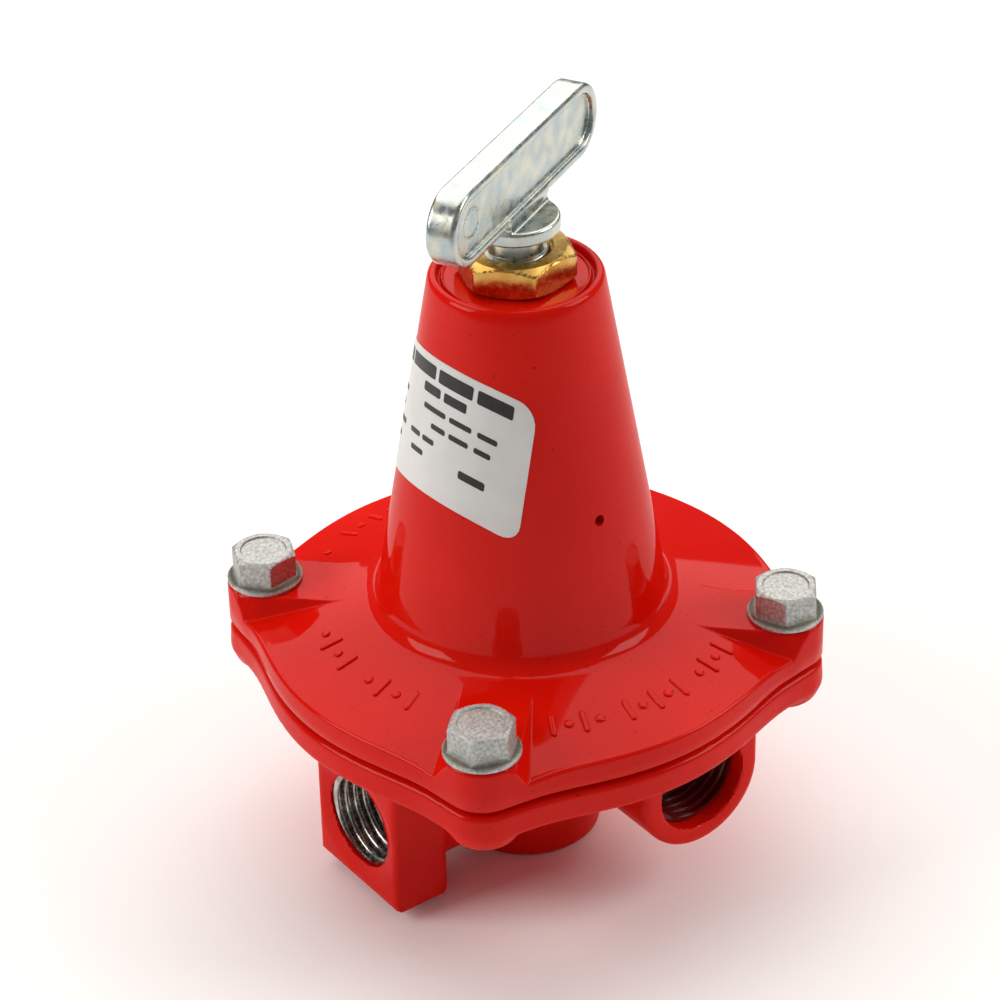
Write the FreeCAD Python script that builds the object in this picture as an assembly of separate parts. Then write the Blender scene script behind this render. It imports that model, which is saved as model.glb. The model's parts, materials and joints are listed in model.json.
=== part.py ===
"""Adjustable spring-loaded diaphragm gas regulator, one STEP file per piece.

Millimetres, +Z up. The origin is on the spring axis at the underside of the central boss.
The inlet block faces -X, the outlet boss faces -Y, and the four cover bolts stand at 45 degrees to both.
Threads are plain cylinders: a tapped hole at its minor radius, a screw just inside it.
"""
import FreeCAD, Part
import math
import os

Vector = FreeCAD.Vector
X_AXIS, Y_AXIS, Z_AXIS = Vector(1, 0, 0), Vector(0, 1, 0), Vector(0, 0, 1)

# ---- driving dimensions -------------------------------------------------------------------
FIT = 0.05                       # radial clearance of a screwed or located pair

# flanges
FLANGE_R = 33.2                  # main circle of both flanges
BOLT_CIRCLE_R = 33.3
BOLT_AZIMUTHS = (45, 135, 225, 315)
EAR_R = 4.85                     # ear radius about the bolt axis
EAR_HALF_ANGLE = 18.5            # where an ear's straight flank meets the main circle
EAR_CORNER_R = 2.7               # fillet in that corner
BODY_FLANGE_BOTTOM = 24.15
DIAPHRAGM_T = 0.75
BODY_FLANGE_TOP = 28.0
BONNET_BOTTOM = BODY_FLANGE_TOP + DIAPHRAGM_T
BONNET_EDGE_TOP = 31.95          # top of the bonnet flange at its outer edge

# bonnet
SLOPE_R, SLOPE_TOP = 20.0, 35.65         # inner end of the sloping flange top
CONE_FOOT_R, CONE_FOOT_Z = 18.2, 37.4
CONE_TOP_R, CONE_TOP_Z = 10.7, 81.15
RIM_TOP = 81.6
RIM_OUTER_R, RIM_INNER_R = 10.15, 9.1
NUT_FLOOR_Z = 80.9               # recessed seat of the lock nut
BONNET_WALL = 2.3
SPRING_ROOM_TOP = 74.1
CHAMBER_R = 24.15                # spring room at the diaphragm
CHAMBER_CEILING = 31.8
PAD_HALF_WIDTH = 4.6             # raised pad that runs inward from each bolt
PAD_INNER_R = 22.4
VENT_R, VENT_Z, VENT_AZIMUTH = 0.6, 53.45, -88.0

# cover screws, M5 x 10 with hexagon washer heads
BOLT_SEAT_Z = 34.6
BOLT_THREAD_R, BOLT_LENGTH, BOLT_CLEARANCE_R = 2.5, 10.0, 2.75
BOLT_AF, BOLT_HEAD_HEIGHT, BOLT_WASHER_R = 7.5, 4.3, 4.8

# body
PAN_R, PAN_BOTTOM = 25.15, 19.7
CAVITY_R, CAVITY_FLOOR = 23.1, 21.75
BOSS_R = 9.65
BOLT_BOSS_R, BOLT_BOSS_BOTTOM = 4.55, 22.3
PORT_FACE = 26.85                # distance of both port faces from the spring axis
THREAD_R = 5.72                  # minor radius of the G1/4 port threads
INLET_Z = 10.9
BLOCK_HALF_WIDTH, BLOCK_DEPTH, BLOCK_BOTTOM = 8.75, 8.1, 1.5
NECK_R = 8.15
INLET_DISH_R, INLET_DISH_DEPTH, INLET_MOUTH_R = 8.15, 0.55, 6.2
INLET_THREAD_END = 17.8          # |x| where the inlet thread stops
RING_POCKET_R, FILTER_FACE = 5.3, 17.0   # counterbore for the retaining ring, and |x| of the strainer's rim
FILTER_POCKET_R, FILTER_POCKET_END = 4.4, 11.9
INLET_PASSAGE_R = 3.05
OUTLET_X, OUTLET_Z, OUTLET_R = 7.8, 17.0, 9.0
OUTLET_MOUTH_R, OUTLET_MOUTH_DEPTH = 6.5, 1.7
OUTLET_THREAD_END, OUTLET_PASSAGE_END = 16.0, 9.8
OUTLET_PASSAGE_R = 3.9

# valve
VALVE_CHAMBER_R, VALVE_CHAMBER_BOTTOM = 6.1, 2.7
SEAT_SHOULDER_Z, SEAT_BORE_R = 14.3, 7.15
SEAT_LIP_Z = 13.72
ORIFICE_R = 2.2
PAD_TOP_Z = 12.9                 # rubber pad, valve fully open
POPPET_STEM_R, POPPET_STEM_BOTTOM = 1.7, 4.1
POPPET_R, POPPET_SHOULDER_Z = 4.4, 9.5
PAD_R, PAD_BOTTOM_Z = 3.55, 11.55
GUIDE_R, GUIDE_FLOOR_Z, GUIDE_HUB_R, GUIDE_TOP_Z = 6.0, 4.1, 3.0, 6.8
GASKET_T, PAD_SCREW_R = 0.7, 0.95

# diaphragm stack
PLATE_R = 16.3
POST_PIN_R, POST_PIN_BOTTOM = 1.2, 13.6
POST_FLANGE_R, POST_FLANGE_Z = 4.75, 22.8
LOWER_PLATE_Z, UPPER_PLATE_Z = 24.15, 26.25
PLATE_T = 1.35
STUD_R, STUD_TOP = 2.0, 32.4     # M4
WASHER_T, POST_NUT_AF, POST_NUT_HEIGHT = 0.8, 7.0, 3.2
CLAMP_RIM_R = 30.4               # the diaphragm's edge

# spring and screw
SPRING_MEAN_R, SPRING_WIRE_R, SPRING_TURNS = 7.5, 1.0, 9
SPRING_FOOT_Z = UPPER_PLATE_Z + PLATE_T
SPRING_HEAD_Z = 62.5
SCREW_R = 4.0                    # M8
SCREW_END_Z, SCREW_NECK_Z, SCREW_HEAD_Z = 66.6, 85.0, 87.3
SCREW_NECK_R = 3.15
BALL_R, BALL_Z = 2.5, 65.4
NUT_AF, NUT_HEIGHT, NUT_TURN = 13.0, 4.05, 11.4
STOP_RING_Z, STOP_RING_T, STOP_RING_ROOT_R, STOP_RING_R = 67.7, 0.8, 3.4, 5.4

# wing handle
HANDLE_TURN = 27.45              # azimuth of the wing
WING_LENGTH, WING_HEIGHT, WING_T = 38.9, 9.65, 3.85
WING_CENTRE_Z = 94.8
WING_RIM, WING_RECESS = 1.3, 0.7
COLLAR_R, COLLAR_TOP = 5.45, 89.2
TANG_LENGTH, TANG_T, TANG_TOP = 6.1, 2.0, 93.9

# label
LABEL_T, LABEL_HALF_ANGLE = 0.1, 58.0
LABEL_BOTTOM, LABEL_TOP = 54.75, 73.3


# ---- small builders -------------------------------------------------------------------------
def cylinder(r, z0, z1, x=0.0, y=0.0):
    return Part.makeCylinder(r, z1 - z0, Vector(x, y, z0), Z_AXIS)


def ring(r_in, r_out, z0, z1):
    return cylinder(r_out, z0, z1).cut(cylinder(r_in, z0 - 1, z1 + 1))


def along_x(r, x0, x1, y, z):
    return Part.makeCylinder(r, x1 - x0, Vector(x0, y, z), X_AXIS)


def along_y(r, y0, y1, x, z):
    return Part.makeCylinder(r, y1 - y0, Vector(x, y0, z), Y_AXIS)


def block(x0, x1, y0, y1, z0, z1):
    return Part.makeBox(x1 - x0, y1 - y0, z1 - z0, Vector(x0, y0, z0))


def lathe(points):
    """Solid of revolution about Z from a closed (radius, height) outline."""
    corners = [Vector(r, 0, z) for r, z in points]
    outline = Part.makePolygon(corners + corners[:1])
    return Part.Face(outline).revolve(Vector(0, 0, 0), Z_AXIS, 360)


def turned(shape, degrees):
    copy = shape.copy()
    copy.rotate(Vector(0, 0, 0), Z_AXIS, degrees)
    return copy


def hexagon(across_flats, z0, z1):
    radius = across_flats / math.sqrt(3)
    corners = [Vector(radius * math.cos(math.radians(60 * i)), radius * math.sin(math.radians(60 * i)), z0)
               for i in range(7)]
    return Part.Face(Part.makePolygon(corners)).extrude(Vector(0, 0, z1 - z0))


def chamfered_hexagon(across_flats, z0, z1, chamfer_low, chamfer_high):
    """Hexagonal prism with turned 30 degree chamfers on its lower and upper ends."""
    flat_r = 0.48 * across_flats
    corner_r = across_flats / math.sqrt(3) + 0.5
    drop = (corner_r - flat_r) * math.tan(math.radians(30))
    low = drop if chamfer_low else 0.0
    high = drop if chamfer_high else 0.0
    blank = lathe([(0, z0), (flat_r if chamfer_low else corner_r, z0), (corner_r, z0 + low),
                   (corner_r, z1 - high), (flat_r if chamfer_high else corner_r, z1), (0, z1)])
    return hexagon(across_flats, z0, z1).common(blank)


def coil_spring(mean_r, wire_r, z0, z1, turns):
    """Round-wire compression spring with both ends ground flat."""
    pitch = (z1 - z0) / turns
    helix = Part.makeHelix(pitch, z1 - z0, mean_r)
    start = Part.Circle(Vector(mean_r, 0, 0), Vector(0, 2 * math.pi * mean_r, pitch), wire_r)
    coil = Part.Wire(helix.Edges).makePipeShell([Part.Wire([start.toShape()])], True, True)
    coil.translate(Vector(0, 0, z0))
    return coil.common(cylinder(mean_r + 2 * wire_r, z0, z1))


# ---- flange outline -----------------------------------------------------------------------
def ear_plate(z0, z1):
    """One flange ear on the +X side, from the main circle's chord out to the round tip."""
    corner = Vector(FLANGE_R * math.cos(math.radians(EAR_HALF_ANGLE)),
                    FLANGE_R * math.sin(math.radians(EAR_HALF_ANGLE)), z0)
    dx, dy = corner.x - BOLT_CIRCLE_R, corner.y
    touch = math.atan2(dy, dx) - math.acos(EAR_R / math.hypot(dx, dy))
    tangent = Vector(BOLT_CIRCLE_R + EAR_R * math.cos(touch), EAR_R * math.sin(touch), z0)
    tip = Vector(BOLT_CIRCLE_R + EAR_R, 0, z0)
    corner_low, tangent_low = Vector(corner.x, -corner.y, z0), Vector(tangent.x, -tangent.y, z0)
    outline = Part.Wire([
        Part.makeLine(corner, tangent),
        Part.Arc(tangent, tip, tangent_low).toShape(),
        Part.makeLine(tangent_low, corner_low),
        Part.makeLine(corner_low, corner),
    ])
    return Part.Face(outline).extrude(Vector(0, 0, z1 - z0))


def eared_disc(z0, z1):
    """Flange disc with its four ears and soft corners between them."""
    disc = cylinder(FLANGE_R, z0, z1)
    ears = [turned(ear_plate(z0, z1), azimuth) for azimuth in BOLT_AZIMUTHS]
    plate = disc.multiFuse(ears).removeSplitter()
    inner_corners = []
    for edge in plate.Edges:
        a, b = edge.Vertexes[0].Point, edge.Vertexes[-1].Point
        upright = abs(a.x - b.x) + abs(a.y - b.y) < 1e-6 and abs(a.z - b.z) > 1
        if upright and abs(math.hypot(a.x, a.y) - FLANGE_R) < 0.05:
            azimuth = math.degrees(math.atan2(a.y, a.x)) % 90
            if abs(abs(azimuth - 45) - EAR_HALF_ANGLE) < 1:
                inner_corners.append(edge)
    return plate.makeFillet(EAR_CORNER_R, inner_corners)


def at_each_bolt(shape):
    """Copies of a shape made about the Z axis, one on each bolt axis."""
    copies = []
    for azimuth in BOLT_AZIMUTHS:
        copy = shape.copy()
        copy.translate(Vector(BOLT_CIRCLE_R, 0, 0))
        copies.append(turned(copy, azimuth))
    return copies


# ---- castings -------------------------------------------------------------------------------
def cone_radius(z):
    """Outer radius of the bonnet's cone at height z."""
    share = (z - CONE_FOOT_Z) / (CONE_TOP_Z - CONE_FOOT_Z)
    return CONE_FOOT_R + share * (CONE_TOP_R - CONE_FOOT_R)


def bonnet():
    """Die-cast spring bonnet: eared flange, sloping top, tall cone and recessed nut seat."""
    shell = lathe([(0, BONNET_BOTTOM), (FLANGE_R, BONNET_BOTTOM), (FLANGE_R, BONNET_EDGE_TOP),
                   (SLOPE_R, SLOPE_TOP), (18.6, 36.3), (CONE_FOOT_R, CONE_FOOT_Z),
                   (CONE_TOP_R, CONE_TOP_Z), (RIM_OUTER_R, RIM_TOP), (0, RIM_TOP)])
    plate = eared_disc(BONNET_BOTTOM, BONNET_EDGE_TOP)
    pads = at_each_bolt(cylinder(EAR_R, BONNET_BOTTOM, BOLT_SEAT_Z))
    bridge = block(PAD_INNER_R, BOLT_CIRCLE_R, -PAD_HALF_WIDTH, PAD_HALF_WIDTH,
                   BONNET_EDGE_TOP - 1, BOLT_SEAT_Z)
    pads += [turned(bridge, azimuth) for azimuth in BOLT_AZIMUTHS]
    solid = shell.multiFuse([plate] + pads).removeSplitter()
    room = lathe([(0, BONNET_BOTTOM - 1), (CHAMBER_R, BONNET_BOTTOM - 1), (CHAMBER_R, CHAMBER_CEILING),
                  (17.7, 33.65), (cone_radius(CONE_FOOT_Z) - BONNET_WALL, CONE_FOOT_Z),
                  (cone_radius(SPRING_ROOM_TOP) - BONNET_WALL, SPRING_ROOM_TOP), (0, SPRING_ROOM_TOP)])
    recess = cylinder(RIM_INNER_R, NUT_FLOOR_Z, RIM_TOP + 1)
    tapped = cylinder(SCREW_R + FIT, SPRING_ROOM_TOP - 1, RIM_TOP + 1)
    vent = turned(along_x(VENT_R, CONE_FOOT_R / 2, CONE_FOOT_R + 5, 0, VENT_Z), VENT_AZIMUTH)
    holes = at_each_bolt(cylinder(BOLT_CLEARANCE_R, BONNET_BOTTOM - 1, BOLT_SEAT_Z + 1))
    return solid.cut(room.multiFuse([recess, tapped, vent] + holes))


def lower_body():
    """Die-cast body: eared flange, shallow pan, central boss, inlet block and outlet boss."""
    pan = lathe([(0, PAN_BOTTOM), (PAN_R - 2, PAN_BOTTOM), (PAN_R, PAN_BOTTOM + 2), (PAN_R, BODY_FLANGE_TOP),
                 (0, BODY_FLANGE_TOP)])
    boss = lathe([(0, 0), (BOSS_R - 0.7, 0), (BOSS_R, 0.7), (BOSS_R, CAVITY_FLOOR), (0, CAVITY_FLOOR)])
    bolt_boss = lathe([(0, BOLT_BOSS_BOTTOM), (BOLT_BOSS_R - 1.4, BOLT_BOSS_BOTTOM),
                       (BOLT_BOSS_R, BOLT_BOSS_BOTTOM + 1.4), (BOLT_BOSS_R, BODY_FLANGE_TOP),
                       (0, BODY_FLANGE_TOP)])
    under_flange = BODY_FLANGE_BOTTOM + 0.5
    inlet_block = block(-PORT_FACE, BLOCK_DEPTH - PORT_FACE, -BLOCK_HALF_WIDTH, BLOCK_HALF_WIDTH,
                        BLOCK_BOTTOM, under_flange)
    neck = along_x(NECK_R, BLOCK_DEPTH - PORT_FACE - 1, 0, 0, INLET_Z)
    outlet_boss = along_y(OUTLET_R, -PORT_FACE, -7, OUTLET_X, OUTLET_Z)
    outlet_cheeks = block(OUTLET_X - OUTLET_R, OUTLET_X + OUTLET_R, -PORT_FACE, -7, OUTLET_Z, under_flange)
    solid = eared_disc(BODY_FLANGE_BOTTOM, BODY_FLANGE_TOP).multiFuse(
        [pan, boss, inlet_block, neck, outlet_boss, outlet_cheeks] + at_each_bolt(bolt_boss)).removeSplitter()

    cavity = cylinder(CAVITY_R, CAVITY_FLOOR, BODY_FLANGE_TOP + 1)
    valve_chamber = cylinder(VALVE_CHAMBER_R, VALVE_CHAMBER_BOTTOM, SEAT_SHOULDER_Z + 1)
    seat_bore = cylinder(SEAT_BORE_R, SEAT_SHOULDER_Z, CAVITY_FLOOR + 1)
    inlet_thread = along_x(THREAD_R, -PORT_FACE - 1, -INLET_THREAD_END, 0, INLET_Z)
    ring_pocket = along_x(RING_POCKET_R, -INLET_THREAD_END - 1, -FILTER_FACE, 0, INLET_Z)
    inlet_pocket = along_x(FILTER_POCKET_R, -FILTER_FACE - 1, -FILTER_POCKET_END, 0, INLET_Z)
    inlet_passage = along_x(INLET_PASSAGE_R, -FILTER_POCKET_END - 1, 0, 0, INLET_Z)
    inlet_dish = Part.makeCone(INLET_DISH_R, INLET_MOUTH_R, INLET_DISH_DEPTH,
                               Vector(-PORT_FACE, 0, INLET_Z), X_AXIS)
    inlet_lead = Part.makeCone(INLET_MOUTH_R, THREAD_R, INLET_MOUTH_R - THREAD_R,
                               Vector(INLET_DISH_DEPTH - PORT_FACE, 0, INLET_Z), X_AXIS)
    outlet_mouth = along_y(OUTLET_MOUTH_R, -PORT_FACE - 1, -PORT_FACE + OUTLET_MOUTH_DEPTH,
                           OUTLET_X, OUTLET_Z)
    outlet_thread = along_y(THREAD_R, -PORT_FACE, -OUTLET_THREAD_END, OUTLET_X, OUTLET_Z)
    outlet_passage = along_y(OUTLET_PASSAGE_R, -OUTLET_THREAD_END - 1, -OUTLET_PASSAGE_END,
                             OUTLET_X, OUTLET_Z)
    outlet_window = cylinder(2.7, OUTLET_Z, CAVITY_FLOOR + 1, OUTLET_X, 3.3 - OUTLET_THREAD_END)
    bolt_holes = at_each_bolt(cylinder(BOLT_THREAD_R, BOLT_SEAT_Z - BOLT_LENGTH - 0.3, BODY_FLANGE_TOP + 1))
    return solid.cut(cavity.multiFuse([valve_chamber, seat_bore, inlet_thread, ring_pocket, inlet_pocket,
                                       inlet_passage, inlet_dish, inlet_lead, outlet_mouth, outlet_thread,
                                       outlet_passage,
                                       outlet_window] + bolt_holes))


def cover_bolts():
    """Four M5 x 10 screws with hexagon washer heads."""
    washer = lathe([(0, BOLT_SEAT_Z), (BOLT_WASHER_R, BOLT_SEAT_Z), (BOLT_WASHER_R, BOLT_SEAT_Z + 0.5),
                    (BOLT_AF / 2, BOLT_SEAT_Z + 1.1), (0, BOLT_SEAT_Z + 1.1)])
    head = chamfered_hexagon(BOLT_AF, BOLT_SEAT_Z + 0.4, BOLT_SEAT_Z + BOLT_HEAD_HEIGHT, False, True)
    shank = cylinder(BOLT_THREAD_R - FIT, BOLT_SEAT_Z - BOLT_LENGTH, BOLT_SEAT_Z)
    return Part.makeCompound(at_each_bolt(washer.multiFuse([head, shank]).removeSplitter()))


def rating_label():
    """Thin sticker wrapped half-way round the cone, facing the inlet side."""
    inner = lathe([(0, LABEL_BOTTOM), (cone_radius(LABEL_BOTTOM), LABEL_BOTTOM),
                   (cone_radius(LABEL_TOP), LABEL_TOP), (0, LABEL_TOP)])
    outer = lathe([(0, LABEL_BOTTOM), (cone_radius(LABEL_BOTTOM) + LABEL_T, LABEL_BOTTOM),
                   (cone_radius(LABEL_TOP) + LABEL_T, LABEL_TOP), (0, LABEL_TOP)])
    reach = 2 * FLANGE_R
    side = math.radians(LABEL_HALF_ANGLE)
    fan = [Vector(0, 0, 0), Vector(-reach * math.cos(side), reach * math.sin(side), 0),
           Vector(-reach, 0, 0), Vector(-reach * math.cos(side), -reach * math.sin(side), 0), Vector(0, 0, 0)]
    wedge = Part.Face(Part.makePolygon(fan)).extrude(Vector(0, 0, RIM_TOP))
    return outer.cut(inner).common(wedge)


# ---- screw, nut and handle --------------------------------------------------------------------
def lock_nut():
    """Thin brass M8 nut that locks the setting."""
    nut = chamfered_hexagon(NUT_AF, NUT_FLOOR_Z, NUT_FLOOR_Z + NUT_HEIGHT, True, True)
    lead = Part.makeCone(SCREW_R + FIT, SCREW_R + 0.55, 0.5,
                         Vector(0, 0, NUT_FLOOR_Z + NUT_HEIGHT - 0.5), Z_AXIS)
    return turned(nut.cut(cylinder(SCREW_R + FIT, NUT_FLOOR_Z, NUT_FLOOR_Z + NUT_HEIGHT)).cut(lead), NUT_TURN)


def tang():
    """Flat end of the adjusting screw, cast into the handle."""
    half_length, half_t = TANG_LENGTH / 2, TANG_T / 2
    return turned(block(-half_length, half_length, -half_t, half_t, SCREW_HEAD_Z, TANG_TOP), HANDLE_TURN)


def adjusting_screw():
    """M8 screw: socket for the thrust ball, stop-ring groove, plain neck and flat tang."""
    stem = lathe([(0, SCREW_END_Z), (SCREW_R - FIT - 0.4, SCREW_END_Z), (SCREW_R - FIT, SCREW_END_Z + 0.4),
                  (SCREW_R - FIT, SCREW_NECK_Z - 0.55), (SCREW_NECK_R, SCREW_NECK_Z + 0.3),
                  (SCREW_NECK_R, SCREW_HEAD_Z), (0, SCREW_HEAD_Z)])
    socket = Part.makeSphere(BALL_R + 0.02, Vector(0, 0, BALL_Z))
    groove = ring(STOP_RING_ROOT_R, SCREW_R + 1, STOP_RING_Z, STOP_RING_Z + STOP_RING_T)
    return stem.fuse(tang()).removeSplitter().cut(socket).cut(groove)


def stop_ring():
    """Open snap ring that keeps the screw from being wound out of the bonnet."""
    gap = block(0, 10, -1, 1, STOP_RING_Z - 1, STOP_RING_Z + STOP_RING_T + 1)
    return ring(STOP_RING_ROOT_R, STOP_RING_R, STOP_RING_Z, STOP_RING_Z + STOP_RING_T).cut(gap)


def stadium(length, height, y0, y1):
    """Upright plate with round ends, centred on the wing's axis and lying along X."""
    half = (length - height) / 2
    ends = [along_y(height / 2, y0, y1, side * half, WING_CENTRE_Z) for side in (-1, 1)]
    middle = block(-half, half, y0, y1, WING_CENTRE_Z - height / 2, WING_CENTRE_Z + height / 2)
    return middle.multiFuse(ends).removeSplitter()


def wing_handle():
    """Die-cast wing key: long plate with a raised rim, standing on a round collar."""
    half_t = WING_T / 2
    plate = stadium(WING_LENGTH, WING_HEIGHT, -half_t, half_t)
    inner = (WING_LENGTH - 2 * WING_RIM, WING_HEIGHT - 2 * WING_RIM)
    recesses = [stadium(*inner, half_t - WING_RECESS, half_t + 1),
                stadium(*inner, -half_t - 1, WING_RECESS - half_t)]
    collar = lathe([(0, SCREW_HEAD_Z), (COLLAR_R - 0.8, SCREW_HEAD_Z), (COLLAR_R, SCREW_HEAD_Z + 0.5),
                    (COLLAR_R, COLLAR_TOP), (0, COLLAR_TOP)])
    wing_bottom = WING_CENTRE_Z - WING_HEIGHT / 2
    neck = block(0.4 - COLLAR_R, COLLAR_R - 0.4, -half_t, half_t, COLLAR_TOP - 0.7, wing_bottom + 0.7)
    cast = plate.cut(recesses[0]).cut(recesses[1]).multiFuse([collar, neck]).removeSplitter()
    return turned(cast, HANDLE_TURN).cut(tang())


def thrust_ball():
    return Part.makeSphere(BALL_R, Vector(0, 0, BALL_Z))


def spring_seat():
    """Upper spring button with a hub inside the coil and a socket for the ball."""
    hub_r, rim_r = SPRING_MEAN_R - SPRING_WIRE_R - 0.25, SPRING_MEAN_R + SPRING_WIRE_R + 0.1
    button = lathe([(0, SPRING_HEAD_Z - 2.7), (hub_r - 0.5, SPRING_HEAD_Z - 2.7), (hub_r, SPRING_HEAD_Z - 2),
                    (hub_r, SPRING_HEAD_Z), (rim_r, SPRING_HEAD_Z), (rim_r, SPRING_HEAD_Z + 1.5),
                    (rim_r - 0.5, SPRING_HEAD_Z + 2), (0, SPRING_HEAD_Z + 2)])
    return button.cut(Part.makeSphere(BALL_R + 0.02, Vector(0, 0, BALL_Z)))


def main_spring():
    return coil_spring(SPRING_MEAN_R, SPRING_WIRE_R, SPRING_FOOT_Z, SPRING_HEAD_Z, SPRING_TURNS)


# ---- diaphragm stack ------------------------------------------------------------------------
def diaphragm():
    """Rubber disc with one rolled convolution; its rim is clamped between the flanges."""
    centre_z = UPPER_PLATE_Z - DIAPHRAGM_T / 2
    rise = BODY_FLANGE_TOP + DIAPHRAGM_T / 2 - centre_z
    start_r, end_r, roll_height, steps = 17.0, 23.9, 2.0, 14
    lower, upper = [], []
    for i in range(steps + 1):
        t = i / steps
        z = centre_z + rise * (3 - 2 * t) * t * t + roll_height * math.sin(math.pi * t) ** 2
        slope = (rise * 6 * t * (1 - t) + roll_height * math.pi * math.sin(2 * math.pi * t)) / (end_r - start_r)
        normal = Vector(-slope, 0, 1).normalize() * (DIAPHRAGM_T / 2)
        middle = Vector(start_r + t * (end_r - start_r), 0, z)
        lower.append(middle - normal)
        upper.append(middle + normal)
    curves = []
    for points in (lower, upper):
        curve = Part.BSplineCurve()
        curve.interpolate(points, InitialTangent=X_AXIS, FinalTangent=X_AXIS)
        curves.append(curve.toShape())
    hole_r, rim_r = STUD_R, CLAMP_RIM_R
    hole = [Vector(hole_r, 0, lower[0].z), Vector(hole_r, 0, upper[0].z)]
    rim = [Vector(rim_r, 0, lower[-1].z), Vector(rim_r, 0, upper[-1].z)]
    outline = Part.Wire(Part.sortEdges([
        Part.makeLine(hole[0], lower[0]), curves[0], Part.makeLine(lower[-1], rim[0]),
        Part.makeLine(rim[0], rim[1]), Part.makeLine(rim[1], upper[-1]), curves[1],
        Part.makeLine(upper[0], hole[1]), Part.makeLine(hole[1], hole[0])])[0])
    return Part.Face(outline).revolve(Vector(0, 0, 0), Z_AXIS, 360)


def centre_post():
    """Push pin, flange and M4 stud that hold the diaphragm plates together."""
    post = lathe([(0, POST_PIN_BOTTOM), (POST_PIN_R, POST_PIN_BOTTOM), (POST_PIN_R, POST_FLANGE_Z),
                  (POST_FLANGE_R, POST_FLANGE_Z), (POST_FLANGE_R, LOWER_PLATE_Z), (STUD_R - FIT, LOWER_PLATE_Z),
                  (STUD_R - FIT, STUD_TOP), (0, STUD_TOP)])
    return post.cut(ring(2.55, 3.6, LOWER_PLATE_Z - 0.95, LOWER_PLATE_Z + 1))


def post_seal():
    return Part.makeTorus(3.075, 0.47, Vector(0, 0, LOWER_PLATE_Z - 0.475), Z_AXIS)


def lower_plate():
    return ring(STUD_R, PLATE_R, LOWER_PLATE_Z, LOWER_PLATE_Z + PLATE_T)


def upper_plate():
    """Spring plate with a hub that centres the coil."""
    hub = ring(4.9, 6.1, SPRING_FOOT_Z - 0.4, SPRING_FOOT_Z + 2.3)
    return ring(STUD_R, PLATE_R, UPPER_PLATE_Z, UPPER_PLATE_Z + PLATE_T).fuse(hub).removeSplitter()


def lock_washer():
    """Split spring washer under the post nut."""
    slit = block(0, 6, -0.3, 0.3, SPRING_FOOT_Z - 1, SPRING_FOOT_Z + 2)
    return ring(STUD_R + FIT, 3.6, SPRING_FOOT_Z, SPRING_FOOT_Z + WASHER_T).cut(slit)


def post_nut():
    foot = SPRING_FOOT_Z + WASHER_T
    nut = chamfered_hexagon(POST_NUT_AF, foot, foot + POST_NUT_HEIGHT, True, True)
    return nut.cut(cylinder(STUD_R, foot - 1, foot + POST_NUT_HEIGHT + 1))


# ---- valve --------------------------------------------------------------------------------------
def valve_seat():
    """Brass nozzle screwed into the boss, with a sharp lip facing down."""
    foot, outer_r, bore_r = SEAT_SHOULDER_Z + GASKET_T, SEAT_BORE_R - FIT, 3.4
    nozzle = lathe([(ORIFICE_R, SEAT_LIP_Z), (ORIFICE_R + 0.55, SEAT_LIP_Z), (3.6, foot - 0.4), (5.85, foot - 0.4),
                    (5.85, foot), (outer_r, foot), (outer_r, CAVITY_FLOOR - 0.5), (outer_r - 0.5, CAVITY_FLOOR),
                    (bore_r, CAVITY_FLOOR), (bore_r, 17.0), (ORIFICE_R, 15.8)])
    key_slot = block(-10, 10, -0.8, 0.8, CAVITY_FLOOR - 1.2, CAVITY_FLOOR + 1)
    return nozzle.cut(key_slot)


def seat_gasket():
    return ring(6.0, SEAT_BORE_R - 0.1, SEAT_SHOULDER_Z, SEAT_SHOULDER_Z + GASKET_T)


def poppet():
    """Brass valve poppet: guided stem, spring shoulder and a cup for the rubber pad."""
    return lathe([(0, POPPET_STEM_BOTTOM), (POPPET_STEM_R, POPPET_STEM_BOTTOM),
                  (POPPET_STEM_R, POPPET_SHOULDER_Z),
                  (POPPET_R, POPPET_SHOULDER_Z), (POPPET_R, PAD_TOP_Z - 0.3), (PAD_R + FIT, PAD_TOP_Z - 0.3),
                  (PAD_R + FIT, PAD_BOTTOM_Z), (PAD_SCREW_R + FIT, PAD_BOTTOM_Z),
                  (PAD_SCREW_R + FIT, 8.1), (0, 8.1)])


def poppet_pad():
    return ring(PAD_SCREW_R + FIT, PAD_R, PAD_BOTTOM_Z, PAD_TOP_Z)


def pad_screw():
    """Small slotted screw that holds the pad; the push pin bears on its head."""
    shank = cylinder(PAD_SCREW_R, 8.3, PAD_TOP_Z)
    head = cylinder(1.75, PAD_TOP_Z, POST_PIN_BOTTOM)
    slot = block(-3, 3, -0.2, 0.2, POST_PIN_BOTTOM - 0.35, POST_PIN_BOTTOM + 1)
    return shank.fuse(head).removeSplitter().cut(slot)


def poppet_guide():
    """Brass bush on the chamber floor that guides the poppet's stem."""
    bore_r = POPPET_STEM_R + 0.06
    disc = ring(bore_r, GUIDE_R, VALVE_CHAMBER_BOTTOM, GUIDE_FLOOR_Z)
    hub = ring(bore_r, GUIDE_HUB_R, GUIDE_FLOOR_Z - 0.4, GUIDE_TOP_Z)
    return disc.fuse(hub).removeSplitter()


def poppet_spring():
    return coil_spring(3.7, 0.3, GUIDE_FLOOR_Z, POPPET_SHOULDER_Z, 4)


def inlet_filter():
    """Woven-wire strainer cup that sits behind the inlet thread."""
    face = -FILTER_FACE
    rim = along_x(FILTER_POCKET_R - FIT, face, face + 0.7, 0, INLET_Z)
    cup = along_x(3.8, face, -FILTER_POCKET_END - 1, 0, INLET_Z)
    hollow = along_x(3.4, face - 1, -FILTER_POCKET_END - 1.4, 0, INLET_Z)
    return rim.fuse(cup).removeSplitter().cut(hollow)


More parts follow.
